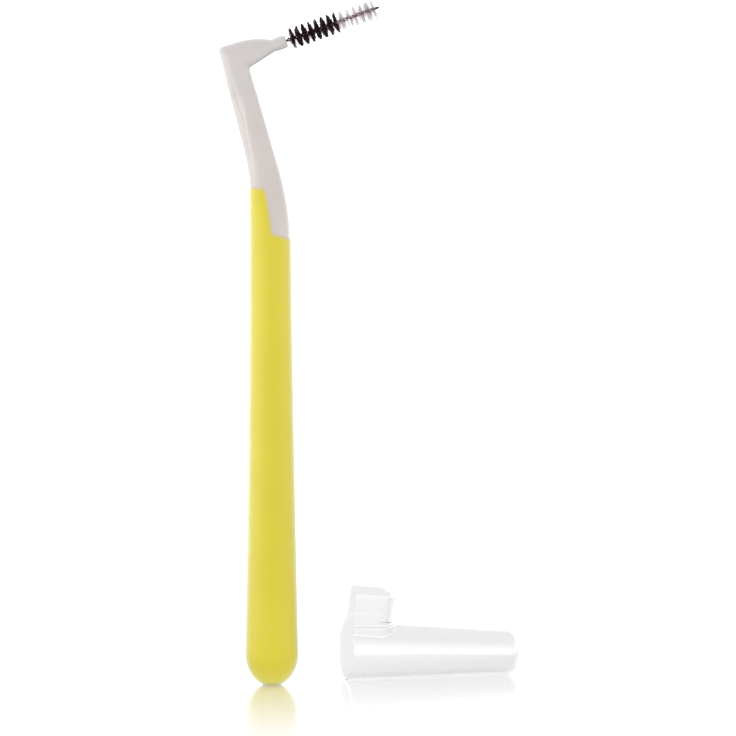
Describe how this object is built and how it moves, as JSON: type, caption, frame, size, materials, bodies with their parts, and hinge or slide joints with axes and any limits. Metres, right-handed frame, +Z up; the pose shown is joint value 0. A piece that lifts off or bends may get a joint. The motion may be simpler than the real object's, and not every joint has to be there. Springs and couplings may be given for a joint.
{
  "type": "interdental brush",
  "caption": "Long-handled interdental brush with an angled twisted-wire head, a soft grip over a stiff core, and a clear cap lying beside it.",
  "frame": {"origin": "middle of the small flat at the heel of the grip, which stands on the table", "axes": "+Z runs up the grip to the head, +X is the way the arm and the brush point, and the brush is the same on both sides of Y = 0; the cap lies at +X"},
  "size_m": [0.0601, 0.0234, 0.138],
  "materials": {
    "white_plastic": "satin moulded plastic",
    "yellow_grip": "soft satin elastomer",
    "coated_wire": "dark coated wire",
    "black_filament": "fine filaments",
    "clear_filament": "translucent filaments",
    "clear_plastic": "clear moulded plastic"
  },
  "bodies": {
    "brush": {"neck_and_core": "white_plastic", "grip": "yellow_grip", "wire": "coated_wire", "black_bristles": "black_filament", "clear_bristles": "clear_filament"},
    "cap": {"cap": "clear_plastic"}
  },
  "joints": [
    {"name": "cap_lift", "type": "slide", "parent": "brush", "child": "cap", "axis": [0.342, 0, 0.9397], "range_m": [0, 0.16]}
  ]
}
